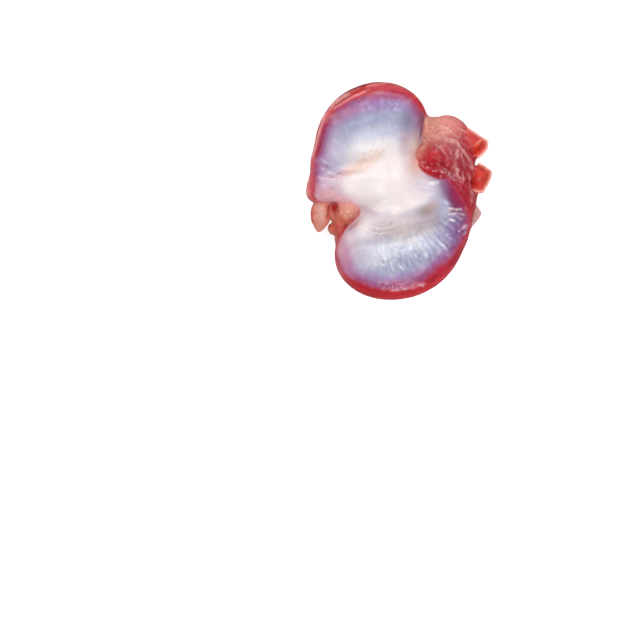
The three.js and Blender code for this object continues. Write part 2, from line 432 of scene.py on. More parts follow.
def skin(field):
    """One point for each cell that the surface passes through, and the faces between them."""
    counts = np.array(field.shape) - 1
    corner = {}
    for i, j, k in np.ndindex(2, 2, 2):
        corner[i, j, k] = field[i:counts[0] + i, j:counts[1] + j, k:counts[2] + k]
    inside = sum((c > 0).astype(np.int8) for c in corner.values())
    crossed = (inside > 0) & (inside < 8)
    number = np.full(counts, -1, dtype=np.int64)
    number[crossed] = np.arange(crossed.sum())
    place = np.zeros((crossed.sum(), 3))
    hits = np.zeros(crossed.sum())
    for a in corner:
        for axis in range(3):
            if a[axis]:
                continue
            b = tuple(1 if n == axis else v for n, v in enumerate(a))
            fa, fb = corner[a][crossed], corner[b][crossed]
            hit = (fa > 0) != (fb > 0)
            spot = np.tile(np.array(a, dtype=float), (hit.sum(), 1))
            spot[:, axis] = fa[hit] / (fa[hit] - fb[hit])
            place[hit] += spot
            hits[hit] += 1
    place = LOW + GRID * (np.argwhere(crossed) + place / hits[:, None])
    return place, skin_faces(field, number)


def skin_faces(field, number):
    made = []
    for axis in range(3):
        u, v = (axis + 1) % 3, (axis + 2) % 3
        first = np.take(field, range(field.shape[axis] - 1), axis=axis)
        after = np.take(field, range(1, field.shape[axis]), axis=axis)
        edges = np.argwhere((first > 0) != (after > 0))
        leaves = first[tuple(edges.T)] > 0
        ring = []
        for du, dv in ((-1, -1), (0, -1), (0, 0), (-1, 0)):
            cell = edges.copy()
            cell[:, u] += du
            cell[:, v] += dv
            ring.append(number[tuple(cell.T)])
        ring = np.stack(ring, axis=1)
        ring[~leaves] = ring[~leaves][:, ::-1]
        made.append(ring)
    return np.concatenate(made)


axes = [np.arange(low, high, GRID) for low, high in zip(LOW, HIGH)]
points, faces = skin(unpinched(meat(*np.meshgrid(*axes, indexing="ij", sparse=True))))
print(len(points), "points and", len(faces), "faces, before the fit")

# %% Fit the skin to the field
def slope_of(field, p, step=0.02):
    parts = []
    for axis in range(3):
        nudge = np.zeros(3)
        nudge[axis] = step
        parts.append((field(*(p + nudge).T) - field(*(p - nudge).T)) / (2 * step))
    return np.stack(parts, axis=1)


def eased(places, share):
    """Every point moved part of the way to the middle of the faces round it."""
    middles = places[faces].mean(axis=1)
    total, count = np.zeros_like(places), np.zeros(len(places))
    for column in range(4):
        np.add.at(total, faces[:, column], middles)
        np.add.at(count, faces[:, column], 1)
    return places + share * (total / count[:, None] - places)


FIT_STEPS, EASE_STEPS = 4, 2
LONGEST_STEP, LEAST_STEEP = 0.15, 0.05
for _ in range(FIT_STEPS):
    slope = slope_of(meat, points)
    steep = np.maximum((slope**2).sum(axis=1), LEAST_STEEP)
    move = -(meat(*points.T) / steep)[:, None] * slope
    points += np.clip(move, -LONGEST_STEP, LONGEST_STEP)
for _ in range(EASE_STEPS):
    points = eased(points, 0.5)
points[:, 2] = np.maximum(points[:, 2], 0)
outward = -slope_of(meat, points)
outward /= np.linalg.norm(outward, axis=1)[:, None] + 1e-9
print("largest distance left", round(float(np.abs(meat(*points.T)).max()), 3), "mm")

# %% [markdown]
# ## What lies where
# To be painted, each point has to know what it is: how far the tendon sheet, the flap or the fat covers it,
# and how it lies to the fibres. The rim of bare red muscle is wide at the top and the lower right and thin
# at the left, so the sheet ends at the outline's depth less a band that swells at named places. Each share
# runs from nothing to one over a soft step, whose two numbers say where it starts and ends.

# %% Where the tendon sheet ends
RIM_BAND = 1.2
RIM_SWELLS = ovals("""
top: -7 30 11 6 8 2.3
top right: 4 25.5 5 6 30 0.4
top left: -14.5 24.5 6 4.5 30 1.6
beside the flap: 7.5 14 3 5 0 -4.5
under the flap: 6 4.5 6 3 -25 -1.6
right notch: 5 8.5 3.5 3.5 0 -3
foot of the flap: 16.5 -1 3.2 6 20 2.2
left notch: -12 -6.5 5.5 4 -30 -2.6
under the left arm: -21 -3.2 6.5 2.5 -10 -1.2
upper left corner: -25 0.2 2.8 3.2 0 1.7
right side: 20 -11 4 4 0 -0.7
right of the lower lobe: 18.6 -17 3.5 4 0 0.9
left of the lower lobe: -18.5 -17.5 3 6.5 0 -0.7
lower right: 9.5 -24 8 5.5 30 2.4
bottom: -6 -29.5 11 6 -12 1.7
""", "rise")


def sheet_depth(x, y):
    band = RIM_BAND + sum(s["rise"] * bump(s, x, y) for s in RIM_SWELLS)
    return plan_depth(LOBES, x, y) - band


print("the sheet is", round(float(sheet_depth(-9.0, 15.0)), 1), "mm in from its edge at the upper dome")

# %% Shares of sheet, flap and fat
FLAP_COVERS = ovals("""
skin over the crease: 8.6 17 1.8 5.4 -4
foot of the knot: 9.8 5.9 4.8 2.4 -26
""")
px, py, pz = points.T
lobes, flap = slab_field(LOBES, px, py, pz), slab_field(FLAP, px, py, pz)
faces_up = soft_step(pz, 5.0, 6.6)
off_table = soft_step(pz, 3.0, 5.0)
upward = soft_step(outward[:, 2], 0.2, 0.5)
blend = 0.8 + 1.4 * (1 - soft_step(py, 0.5, 4.0)) * soft_step(px, 11.0, 13.5)
on_flap = soft_step(flap - lobes, -blend, blend)
for cover in FLAP_COVERS:
    on_flap = np.maximum(on_flap, soft_step(oval_depth(cover, px, py), -0.4, 0.5) * faces_up)
cups = [cup_shape(end, px, py) for end in TUBE_ENDS]
in_cups = [soft_step(closed, -0.4, 0.1) * soft_step(pz - inner, -1.2, -0.4) for _, closed, inner, _ in cups]
off_cup = 1 - np.max(in_cups, axis=0)
fats = [lump_field(lump, px, py, pz) for lump in FAT_LUMPS] + [finger_field(px, py, pz)]
fade = 0.6 + 1.0 * soft_step(py, -6.0, -3.5)
on_fat = soft_step(np.max(fats, axis=0) - lobes, -fade, fade)
on_fat *= 1 - 0.9 * soft_step(py, -4.8, -2.2)
on_lobes = (1 - on_flap) * (1 - on_fat)
sheet = sheet_depth(px, py)
on_sheet = soft_step(sheet, -0.9, 0.3) * on_lobes * faces_up
on_tab = soft_step(tab_field(px, py, pz), -0.4, 0.0) * (plan_depth(LOBES, px, py) < 0.8)
print("share of the points under the tendon sheet", round(float(on_sheet.mean()), 2))

# %% [markdown]
# ## Fibres
# The tendon's fibres fan out from the waist into both lobes, so a point's place along and across them is
# its distance from the waist, less its height, and its angle round it: over the rim the fibres turn down
# the sides. On the flap they run slantwise.

# %% Places along and across the fibres
FAN = (-3.0, 0.5)
FAN_RADIUS = 18.0
FLAP_GRAIN = -45.0
radius = np.hypot(px - FAN[0], py - FAN[1])
angle = np.arctan2(py - FAN[1], px - FAN[0])
fan = np.stack([radius - pz, angle * FAN_RADIUS, 0.3 * pz], axis=1)
slant = np.stack([*turned(px, py, (0, 0), FLAP_GRAIN), pz], axis=1)
under = np.maximum(1 - soft_step(pz, 0.3, 2.0), soft_step(-outward[:, 2], 0.3, 0.7))
grain = np.where((on_flap + under > 0.5)[:, None], slant, fan)
print("fibres run to", round(float(radius.max()), 1), "mm from the waist")

# %% [markdown]
# No two places on meat are alike, so much of it is broken up by smooth random heights, from a lattice of
# random numbers with a fixed seed.

# %% Smooth random heights
def soft_noise(u, v, seed, size=64):
    """Smooth random heights from -1 to 1 on a lattice one unit apart."""
    heights = np.random.default_rng(seed).uniform(-1, 1, (size, size))
    i, j = np.floor(u).astype(int), np.floor(v).astype(int)
    s, t = soft_step(u - i, 0, 1), soft_step(v - j, 0, 1)
    near = heights[i % size, j % size] * (1 - s) + heights[(i + 1) % size, j % size] * s
    far = heights[i % size, (j + 1) % size] * (1 - s) + heights[(i + 1) % size, (j + 1) % size] * s
    return near * (1 - t) + far * t


def patchwork(slope, long, wide, seed):
    """Random patches over the plan, of a length and a width, laid at a slope to the x axis."""
    return soft_noise((px + slope * py) / long, (py - slope * px) / wide, seed)


print("patches of 4 mm range over", np.ptp(patchwork(0, 4.0, 4.0, 13)).round(2))

# %% [markdown]
# The fibres show most on the right half of the lower lobe, where the sheet is thin and tight, and hardly at
# all on the soft upper lobe. Named ovals say how strongly they show.

# %% Where the fibres show
FIBRE_PATCHES = ovals("""
lower lobe: 5 -18 14 6.5 15 0.7
right of the lower lobe: 15 -12 5 7 0 0.7
left arm: -21 4 5 5 0 0.45
warm hairs: -10 8.2 6 3 25 0.35
top edge: -6 24.5 12 3 5 0.6
""", "strength")
shows = 0.06 + sum(p["strength"] * bump(p, px, py) for p in FIBRE_PATCHES)
streak = np.clip(shows, 0, 1) * on_sheet + 0.4 * on_flap + 0.5 * (1 - on_sheet) * on_lobes
fringe = 0.5 * soft_noise(grain[:, 1] / 1.1, radius / 5.0, 11)
fringe += 0.4 * soft_noise(grain[:, 1] / 0.6, radius / 3.0, 12)
fringe = fringe * (0.35 + shows) + 0.5 * patchwork(0, 4.0, 4.0, 13)
broken = 0.35 + 0.65 * soft_step(soft_noise((px + pz) / 0.75, (py - pz) / 0.75, 14), -0.3, 0.3)
facets = 0.2 * patchwork(0.4, 1.4, 1.0, 61) + 0.1 * patchwork(-0.7, 0.7, 0.8, 62)
print("the sheet's edge wanders by", round(float(fringe.std()), 2), "mm")

# %% [markdown]
# ## Folds, strands and wet fibres
# Some lines are single things: two folds of skin along the upper left rim, strands of membrane over the
# flap, wrinkles in the valley and a few fibres that stand up wet. Many also paint light: pale strokes and
# beads are painted highlights, and dark lines in creases and grooves are painted shade. Each is listed by
# its width, its rise, its colour, how much it covers and where it may lie, and then the x and y of each
# bend. The rise goes to the relief and the colour to the paint.

# %% Lines on the surface
def line(*values):
    return dict(zip(("wide", "rise", "colour", "share", "where", "path"), values))


def lines(text):
    return [line(*row[1:6], list(zip(row[6::2], row[7::2]))) for row in rows(text)]


def line_share(one, x, y):
    """One on the line, less to its sides within its width, and fading at both ends."""
    nearest, along = np.full(np.shape(x), np.inf), np.zeros(np.shape(x))
    steps = len(one["path"]) - 1
    for number in range(steps):
        share, off = to_piece((x, y), one["path"][number], one["path"][number + 1])
        along = np.where(off < nearest, (number + share) / steps, along)
        nearest = np.minimum(nearest, off)
    ends = soft_step(along, 0.0, 0.15) * (1 - soft_step(along, 0.85, 1.0))
    return np.exp(-(nearest / one["wide"]) ** 2) * (0.25 + 0.75 * ends)


print(lines("trial: 0.3 0.1 #ffffff 1 sheet 0 0 2 1"))

# %% Folds along the upper left rim
# Painted shade: the two dark lines beside the folds darken their grooves, and the maroon wedge at the outline
# is the shaded wall of the fold. The pale folds, the red wedge and the other lines are the skin's own
# colours.
FOLDS = lines("""
outer fold, left: 0.35 0.4 #e8aaa8 0.9 rim -25.8 8 -24.4 11.7 -23 16.8 -21.8 20.6 -20.7 22.9
outer fold, top: 0.35 0.5 #eab0a8 0.95 rim -20.7 22.9 -18.8 24.8 -16.3 26.8 -13.2 28.3 -10.6 29.6
dark line inside the outer fold: 0.4 -0.25 #9a1c34 0.75 rim -24.6 8 -23.2 12 -21.9 16.5 -20.6 20
inner fold: 0.35 0.45 #e68f8e 0.9 rim -19.4 22.9 -16.7 24.7 -14.4 26.1 -11.9 27.3 -8.6 28.6
dark line beside the inner fold: 0.35 -0.35 #7c101e 0.95 rim -19 23.8 -16.4 25.7 -14.2 27.1
red wedge between the folds: 0.7 -0.25 #b80a18 0.95 rim -14.6 27.5 -12 28.8 -9.6 29.8
maroon wedge at the outline: 0.8 -0.3 #4c0814 1 rim -16.8 28.4 -13.2 30.2 -9.2 31.4
thin skin on the top rim: 0.35 0.2 #e08c88 0.8 rim -9.8 29.6 -6.6 30.3 -3.2 30.9
pale line over the purple: 0.3 0.12 #d88a9a 0.45 rim -8.6 27.2 -4 27.6 -1 27.2 1.6 26
pale skin at the top right outline: 0.5 0 #cf9a94 0.7 rim -1 31 3 29.4 6 26.5
left corner fold: 0.5 0.3 #e69c96 0.8 rim -26.2 4 -26.6 0.5 -26.3 -1.8
""")
print(len(FOLDS), "folds")

# %% Strands over the flap
# Painted light: the wet edge under the knot is a painted highlight, and the crease by the lobe, the creases
# beside the fat lump and right of the finger and the edge of the hole are painted shade in their grooves. The
# strands and the other lines are the meat's own colours.
STRANDS = lines("""
top strand: 0.35 0.15 #eeb8a8 0.7 flap 9.7 19 12.3 18.3 14.2 17.1 16.2 15.2 18.1 15
long strand: 0.4 0.2 #e3a4a4 0.7 flap 13.2 14.5 15.2 14 16.2 12.8 18.3 11.3 20 9.4 21 7.3 21.9 4.9
middle strand: 0.4 0.15 #d8a0a6 0.6 flap 16 11.4 16.7 9.9 15.9 8 16.2 6.6 17.1 5.1
inner strand: 0.3 0.15 #e29a9c 0.6 flap 13.8 11.8 14.7 10.4 15.2 9
knot strand: 0.3 0.15 #e09094 0.7 flap 12.1 11.4 13.3 9.4 13.8 8.2
strand over the upper tube end: 0.3 0.15 #eeaaa6 0.7 tube 17.6 17.4 19.8 16.6 22 15.6
strand beside it: 0.3 0.15 #e69a98 0.6 tube 18.6 15.4 20.6 14.2 21.8 13
low strand: 0.3 0.15 #f0b4b0 0.8 flap 15.7 6.8 17.2 5.3
foot strand: 0.3 0.15 #e09090 0.6 flap 16 4.4 17.4 3.2 17.9 1.7
wet edge under the knot: 0.3 0.2 #f0c0cc 0.7 flap 13.6 5.4 14.8 3.8 16.2 2.4
pale right edge: 0.5 0.1 #cf9592 0.8 any 20.6 4 20.8 0.6 21 -2 20.6 -4
peach strip by the lobe: 0.9 0 #e6ab92 0.85 flap 7.2 22.2 7.4 19.5 7.8 16.5 7 13 5.2 10.6
crease by the lobe: 0.3 -0.25 #5c2c26 0.8 any 7 21.6 6.7 18.6 6.2 15.6 5.2 12.8
crease beside the fat lump: 0.3 -0.15 #9c3430 0.5 notch -11.4 -6.2 -11.5 -8.2 -12.8 -10 -15 -11.8
crease right of the finger: 0.35 -0.1 #98302a 0.7 notch -20.2 -4 -20.6 -6.4 -20.9 -8.4
edge of the hole: 0.35 -0.2 #7c1610 0.6 notch -19.6 -3.4 -18.2 -4.4 -18.4 -6.6
""")
print(len(STRANDS), "strands")

# %% Wet fibres, painted highlights and wrinkles
# Painted light: the shadow on the left arm is painted shade, and the pale folds of the left arm, the wet line
# on the bottom rim, the blob under the flap, the strokes on the right and the fibres paint highlights, over
# raised ridges where they rise. The pink edge and the two specks are the meat's own colours.
WET_LINES_AND_PAINTED_GLINTS = lines("""
shadow on the left arm: 0.5 -0.15 #98809f 0.6 sheet -22.8 7.8 -20.2 6.2 -17.6 5.2 -15.2 5.2
pale fold of the left arm: 0.4 0.2 #efe2f0 0.7 sheet -23 6.4 -20.8 4.9 -18.4 4.5
upper pale fold of the left arm: 0.35 0.2 #e6dcec 0.6 sheet -22.8 8.8 -21.2 7.6 -19.4 7.1
pink edge of the left arm: 0.5 0.1 #dfa6b4 0.6 sheet -24 3.4 -20.8 2.6 -17.6 3.4 -15 4.4
wet line on the bottom rim: 0.4 0.15 #f4ccd6 0.6 any -2.4 -29.1 0.9 -28.6 4.4 -28 7.4 -27
left speck: 0.3 0 #8f8080 0.9 sheet -2.6 -9.7 -2.3 -9.7
right speck: 0.3 0 #8f8080 0.9 sheet 0.4 -9.6 0.7 -9.6
blob under the flap: 0.7 0.3 #cccce4 0.7 sheet 12.6 -3.4 14.2 -4.4
first stroke on the right: 0.28 0.3 #ecd2bc 0.9 sheet 13.4 -6 15.2 -5.7 16.8 -6.3
second stroke on the right: 0.3 0.3 #e8c4d0 0.8 sheet 13.4 -7.3 16.4 -7 19.2 -7.5
third stroke on the right: 0.28 0.3 #f0ecf4 0.75 sheet 13.2 -8.9 15.8 -9.2
long fibre: 0.3 0.3 #e6e8f6 0.8 sheet 10 -14.3 11.8 -16 13.8 -17.6
fibre over it: 0.28 0.3 #e6e2f4 0.8 sheet 11.6 -14 13.4 -15.4 14.6 -16.4
broad fibre: 0.6 0.35 #e2e7f2 0.7 sheet 5 -15.4 6.2 -17.6 7.8 -19.8
yellowish fibre: 0.3 0.25 #ece4cc 0.8 sheet 1 -15.4 2.6 -15.2 4 -14.7
""")
WRINKLES = oval("wrinkles in the valley", -5.8, -11.6, 4.6, 2.6, 4, middle=(-5.0, -3.0), apart=1.15)
print(len(WET_LINES_AND_PAINTED_GLINTS), "wet fibres and specks")

# %% [markdown]
# Where the wet skin is creased into small facets, short strokes are scattered in an oval: every second one
# a raised pale edge, the others dark dips. Where they mark facets, folds, creases and wet beads, the pale
# colour is a painted highlight and the dark one painted shade. After the oval come their count, length and
# lean off the fan, the pale and the dark colour, how much they cover, their rise and width, and where they
# may lie. A stroke as long as it is wide is a bead.

# %% Scattered strokes and beads
# Painted highlights and shade: the facets, fibres and glints of the lower dome, the wet fibres and the bright
# patch at the right, the creases at the top, the folds of the left arm, the wet spots on the waist and the
# creases of the valley. Painted highlights on raised beads: the beads on the bottom rim, at the foot of and
# left of the knot, and on the fat lump. The other strokes are the meat's own marks.
SCATTERED = ovals("""
facets of the lower dome: -0.5 -19.6 8 3.6 5 56 1.5 28 #eceffa #888dae 0.65 0.22 0.27 sheet
fibres of the lower dome: 10.5 -16 5.5 3.2 38 34 2.4 4 #e4e7f6 #7f84ac 0.55 0.2 0.27 sheet
wet fibres at the right: 15.4 -8.2 3.4 3.2 0 18 2 22 #e6dfec #5e4c84 0.65 0.25 0.26 sheet
bright patch at the right edge: 18.4 -11.7 1.8 1.3 20 14 1.3 75 #f0cfe6 #8a4a80 0.85 0.3 0.3 sheet
creases at the top: -0.4 24.2 2.4 1.8 -20 18 1 60 #ded2ec #6a5880 0.7 0.22 0.3 sheet
folds of the left arm: -20.4 4.6 3.8 2.2 -8 22 2.6 8 #eaddec #a488b0 0.55 0.2 0.27 sheet
red specks under the left arm: -22 -1.5 2.8 0.9 0 14 0.3 0 #c23a4a #f2d6d8 0.7 0.15 0.27 sheet
wisps right of the waist: 8 0.6 4.2 2.8 -30 22 3 0 #fbf5fa #cabcd0 0.45 0.1 0.27 sheet
wet spots on the waist: -1.5 -4.6 3.4 1.8 0 16 0.8 30 #ffffff #d8ccd6 0.7 0.15 0.3 sheet
hairs over the groove: -9.6 9 5 2 24 44 2.8 -50 #f8f0ea #dcbaa6 0.3 0.05 0.26 sheet
hairs of the upper dome: -8 15.4 11 3.6 8 50 2.6 -8 #e6e5ee #a9a8c2 0.3 0.06 0.26 sheet
creases of the valley: 0 -12 9 2.4 4 30 1.6 60 #e2d4d0 #a08f92 0.45 0.12 0.3 sheet
mottled pink along the bottom: -0.5 -27.2 7.5 1.2 3 56 1.4 80 #dc98b4 #a83a5c 0.6 0.15 0.32 any
beads on the bottom rim: 1.2 -28.3 6.5 0.7 4 26 0.4 0 #f6d2da #e8a8b6 0.75 0.25 0.24 any
beads at the foot of the knot: 10.4 5.6 5.2 1.3 -30 22 0.35 0 #f8ccd2 #e88e98 0.85 0.3 0.25 flap
glints of the lower dome: -1 -19.4 7 3.4 5 22 0.7 28 #ffffff #f4f6ff 0.9 0.2 0.27 sheet
beads left of the knot: 6.2 8 1.2 3 10 16 0.3 0 #f2b8ae #e09a92 0.7 0.25 0.26 flap
specks on the knot: 10.4 9.4 3.8 3.4 0 26 0.7 40 #d85a5e #8a0c18 0.6 0.2 0.3 flap
strands down the flap: 15.6 8.6 4.6 8 18 44 3.6 -86 #e6a8aa #861022 0.65 0.2 0.27 flap
strands over the membrane: 12.6 15.4 5.4 3.4 -20 26 3.4 -66 #f2beb2 #bc5c5c 0.5 0.15 0.27 flap
specks on the membrane: 12.6 17.4 6 3.2 -25 40 1.2 0 #efae9e #c0605c 0.55 0.12 0.3 flap
specks on the foot: 17 3 3.2 7 25 40 1.2 40 #de8084 #8c1020 0.6 0.2 0.3 flap
mottled finger: -22.9 -6.6 2 4 8 26 0.7 60 #ecc0b0 #c07c70 0.5 0.1 0.3 fat
beads on the fat lump: -14.4 -6.2 2.6 2.3 0 30 0.3 0 #f4cfc0 #e8b09c 0.8 0.3 0.28 fat
""", "count", "long", "lean", "light", "dark", "share", "rise", "wide", "where")
FIRST_SEED = 100
LEAN_SPREAD = 14
DIP = -0.6


def scattered(group, seed):
    rng = np.random.default_rng(seed)
    made = []
    for number in range(int(group["count"])):
        far, way = np.sqrt(rng.uniform()), rng.uniform(0, 2 * np.pi)
        u, v = group["rx"] * far * np.cos(way), group["ry"] * far * np.sin(way)
        east, north = turned(u, v, (0, 0), -group["turn"])
        x, y = group["x"] + east, group["y"] + north
        lean = np.radians(group["lean"] + rng.normal(0, LEAN_SPREAD))
        along = np.arctan2(y - FAN[1], x - FAN[0]) + lean
        half = 0.5 * group["long"] * rng.uniform(0.5, 1.3)
        dx, dy = half * np.cos(along), half * np.sin(along)
        path = [(x - dx, y - dy), (x + dx, y + dy)]
        shade, side = ("dark", DIP) if number % 2 else ("light", 1)
        share = group["share"] * rng.uniform(0.5, 1.0)
        made.append(line(group["wide"], side * group["rise"], group[shade], share, group["where"], path))
    return made


SPECKS = [one for n, group in enumerate(SCATTERED) for one in scattered(group, FIRST_SEED + n)]
print(len(SPECKS), "strokes and beads in", len(SCATTERED), "places")

# %% [markdown]
# ## Colours
# Colour follows the sheet's thickness. At its edge the red muscle shines through a thin skin and looks
# purple, further in it scatters blue, and at the waist it is thick and white. A ramp over the sheet's depth
# gives that, and patches add the rest. A patch is an oval with a colour and how much of it is laid on.

# %% Colour helpers
def linear(text):
    """An sRGB hex colour as linear red, green and blue."""
    srgb = np.array([int(text[i:i + 2], 16) / 255 for i in (1, 3, 5)])
    return np.where(srgb <= 0.04045, srgb / 12.92, ((srgb + 0.055) / 1.055) ** 2.4)


def mixed(base, colour, share):
    return base + (linear(colour) - base) * np.asarray(share)[:, None]


def patches(text):
    return ovals(text, "colour", "share")


SHEET_RAMP = [
    (-0.9, "#bb1f2e"),
    (0.1, "#b03350"),
    (0.9, "#a44a74"),
    (1.9, "#a16491"),
    (3.1, "#a37fa9"),
    (4.3, "#a491b8"),
    (5.6, "#a5a3bf"),
    (7.2, "#acaec5"),
    (9.2, "#bcbdd0"),
    (11.5, "#d2d2de"),
]
# The outline colour is a maroon used as painted shade on the steep side of the upper left rim.
MUSCLE, SILVER_SKIN, SOLE_MEMBRANE, OUTLINE_SHADE = "#bb1c28", "#c28a92", "#b4605e", "#560c1c"
FLAP_MUSCLE, FAT, TAB_SKIN = "#9e2c38", "#d38a7a", "#c79a96"
TENDON, CLOUD_BLUE, CLOUD_WHITE = "#f3e8e6", "#8a80b0", "#ebe6ec"
TUBE_SIDE, TUBE_ROOF, TUBE_FOLD = "#cf6660", "#c8363a", "#f4b48c"
print("ramp", [depth for depth, _ in SHEET_RAMP])

# %% [markdown]
# The white tendon at the waist ends in a clear curve towards the valley and fades softly upwards, so it is
# a plate with a narrow edge below and a wide one above.

# %% Patches of the tendon sheet
WHITE_TENDON = oval("white tendon", -3.4, 2.8, 14.2, 10.0, 3)
# Partly painted light: the valley, its right end and the edge of the waist are darkened with painted shade
# where the surface steps down below the white plate, and the grey at the upper right is painted shade by the
# crease. The bright top of the lower dome is lightened with painted light where it faces the lamps. Each
# keeps some of the sheet's own warm or blue tone, and the other patches are the sheet's own colours.
SHEET_PATCHES = patches("""
blue of the upper dome: -8.6 18.8 9.5 5 8 #8e91b2 0.8
white below it: -7 11.4 9 3.6 10 #fdf4f2 0.95
pale blue over the white: -9.5 15.2 6.5 2.2 12 #c9ccdb 0.7
lilac at the left: -20 12.5 3.5 6 -10 #bfb2c4 0.7
lilac of the left arm: -21.5 3.4 4 5 0 #c3aac2 0.7
grey at the upper right: 3 19.2 2.8 4.2 0 #7a7386 0.85
valley: -1.5 -11 11 3.8 6 #ccbaba 0.95
left end of the valley: -11 -10.5 3.4 3 30 #d9cfd2 0.9
right end of the valley: 9.5 -6.6 5.5 3.2 40 #a08c94 0.9
olive in the valley: 7.4 -5.9 2.6 1.2 20 #8e7e6e 0.8
orange in the valley: 9.3 -4.5 1.6 0.9 35 #c9a092 0.6
bright top of the lower dome: 0 -17 10 1.7 8 #d9daea 0.7
grey of the lower dome: 1.5 -20.6 9 2.8 10 #9b9db5 0.65
bright left of the lower dome: -8 -19 3.5 4 0 #d5d3e2 0.6
blue right of the waist: 13 -5.6 2.2 4.2 10 #bcc0da 0.75
lilac at the lower left: -13 -17.5 4.5 6 20 #cbbfcc 0.7
pink over the fat: -14.5 -3.6 4 1.6 0 #e9c6bc 0.8
edge of the waist: -6.5 -7.8 5.5 1.7 -3 #dccfd2 0.95
""")
# Painted shade: the dark edge by the crease darkens the lobe where it turns down into the crease. The other
# edge patches are the sheet's own colours.
EDGE_PATCHES = patches("""
dark edge by the crease: 6.3 20.4 1.3 3.6 -4 #7d4a62 0.85
brown by the crease: 5.2 14 1.4 2.6 0 #a07f72 0.7
violet at the right: 15.7 -13 3 5 -20 #6c4884 0.8
crimson beyond the violet: 18.6 -12.5 1.3 5 -12 #a02858 0.7
dark purple by the flap: 14.9 -2.6 2.5 6.2 25 #622450 0.95
magenta at the foot of the flap: 16.2 -2 1.7 5.5 22 #941c4a 0.85
purple under the knot: 10.4 2.6 4 1.2 -24 #734070 0.7
lilac along the lower left: -15.4 -20 2 6 10 #c488a6 0.8
pale upper left of the lower lobe: -14.4 -13.8 2.2 3.6 20 #d8c2cc 0.9
magenta at the bottom right: 6 -25.2 6.5 1.6 18 #924c78 0.7
pale lower left: -17 -17 1.4 3.5 5 #d4a4ac 0.7
pink under the left arm: -20.4 -1.2 4.8 2.8 -4 #dfaeb8 0.95
pale between the lump and the valley: -10.6 -11.6 3.4 2.6 20 #e2dadc 0.8
pale by the right notch: 3.6 12.2 3 3.6 0 #e2d8d6 0.95
white at the left notch: -14.6 0.2 3.6 3 -10 #eedfe1 1
pale lower edge of the left arm: -19 -3.2 6 1.4 0 #dcaab2 1
pale beside the lump: -12.2 -9.6 1.8 1.8 0 #d8b4b2 0.95
peach by the right notch: 5.4 8.2 2.2 3.6 -20 #e3b3a6 0.85
magenta along the top: -12.5 23 6.5 1.9 26 #b06088 0.65
red under the top rim: -3.6 26.6 7 1.1 -2 #b4506c 0.65
violet at the top: -5.4 23.8 6.4 2.1 0 #9c74b0 0.6
pale edge by the left notch: -10.5 -7.6 3 2 -40 #dfd3d3 0.9
""")
TENDON_PATCHES = patches("""
warm groove: -15 5 6 1.1 16 #d8aca4 0.8
warm hairs: -9.5 8.2 5 1.4 26 #e2c2b2 0.75
beige in the middle: 1.5 0 3.5 5 -15 #ead8d5 0.7
lilac right of the waist: 7.2 0.8 4.4 3.4 -25 #d0c2d4 0.75
peach beside the flap: 5.4 8.4 2 4 -10 #e0b4a8 0.8
""")
print(len(SHEET_PATCHES) + len(EDGE_PATCHES) + len(TENDON_PATCHES), "patches")

# %% [markdown]
# The flap is pink membrane at the top and bare red muscle at the foot. Fat is peach where it is thick and
# red where the meat under it shows.

# %% Patches of the flap and the fat
FLAP_PATCHES = patches("""
membrane at the top: 14 19.5 7 3.4 -25 #e28c86 0.9
membrane at the upper left: 10 16 4 4 0 #eeaca0 0.9
red at the upper right: 20.2 15.2 2.8 3.4 30 #c03038 0.9
knot: 9.8 8.6 5.2 4.4 -25 #c01c28 0.95
crimson right of the knot: 13.4 6.4 3.2 3.4 -30 #a80620 0.9
bare muscle along the foot: 16.5 1.5 4 7.5 30 #960e26 0.95
magenta beside the purple: 15.9 -1 2 6 24 #821440 0.8
dull pink in the middle: 15.6 11.6 3 4 30 #aa5460 0.5
pink by the tube ends: 19.6 8 1.8 6 10 #ac2a3c 0.75
root beside the upper lobe: 5.6 10.4 1.4 2.2 -20 #d07a70 0.7
web: 8.6 20 2.6 1.8 -30 #c98a72 0.9
""")
# Painted shade: the crease at the foot of the lump and the dark edge of the hole darken a crease and a
# hollow. The other patches are the fat's and the meat's own colours.
FAT_PATCHES = patches("""
beads on the lump: -14.2 -6.4 2.6 2.2 0 #df9c84 0.6
under the lump: -13.4 -9 3 1.6 35 #b84a40 0.9
red edge of the lump: -11.6 -7.4 1.2 2.6 -20 #b0485a 0.7
orange under the lump: -16.8 -8.8 1.6 1.8 0 #d0664c 0.8
small lumps: -18.8 -10.6 2.2 2 0 #c2503c 0.9
strip: -17 -14.2 1.8 4 8 #a83c34 1
crease at the foot of the lump: -12.6 -8.6 0.8 2.4 48 #9a3030 0.8
hole: -19 -4.8 1.1 2.2 12 #c0140c 1
dark edge of the hole: -17.8 -5 0.5 1.8 12 #8c2418 0.6
left edge of the finger: -25.4 -7.5 1 4.5 0 #bc463e 0.85
right edge of the finger: -20.4 -7 0.7 3.6 14 #c8604e 0.6
grey middle of the finger: -22.7 -6.4 1.1 3.4 12 #c9a69e 0.45
""")
print(len(FLAP_PATCHES), "patches on the flap and", len(FAT_PATCHES), "on the fat")

